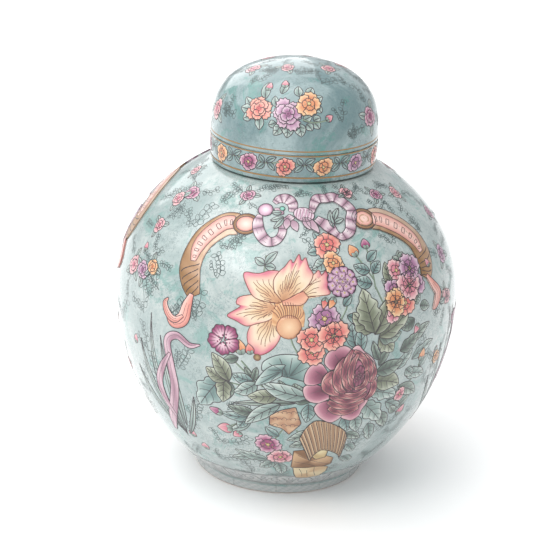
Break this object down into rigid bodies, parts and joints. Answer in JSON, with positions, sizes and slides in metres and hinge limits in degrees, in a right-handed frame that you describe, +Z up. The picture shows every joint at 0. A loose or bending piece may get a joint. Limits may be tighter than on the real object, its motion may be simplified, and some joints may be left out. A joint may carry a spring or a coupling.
{
  "type": "ginger jar",
  "caption": "Full-bellied round ginger jar on a low foot ring, with a deep domed cap lid that lifts off the neck, glazed and enamelled with flowers.",
  "frame": {"origin": "centre of the foot ring, on the surface that the jar stands on", "axes": "+Z up along the axis of the jar; the main painted panel faces -Y"},
  "size_m": [0.23, 0.23, 0.2845],
  "materials": {
    "pale_glaze": "glossy mottled grey-turquoise glaze",
    "painted_enamel": "glossy painted enamels in pinks, oranges, purples and greens",
    "gilding": "soft brown gilding",
    "bare_clay": "unglazed, fine and matt"
  },
  "bodies": {
    "jar": {"jar": "pale_glaze"},
    "lid": {"lid": "pale_glaze"}
  },
  "joints": [
    {"name": "lid_lift", "type": "slide", "parent": "jar", "child": "lid", "axis": [0, 0, 1], "range_m": [0, 0.08]}
  ]
}
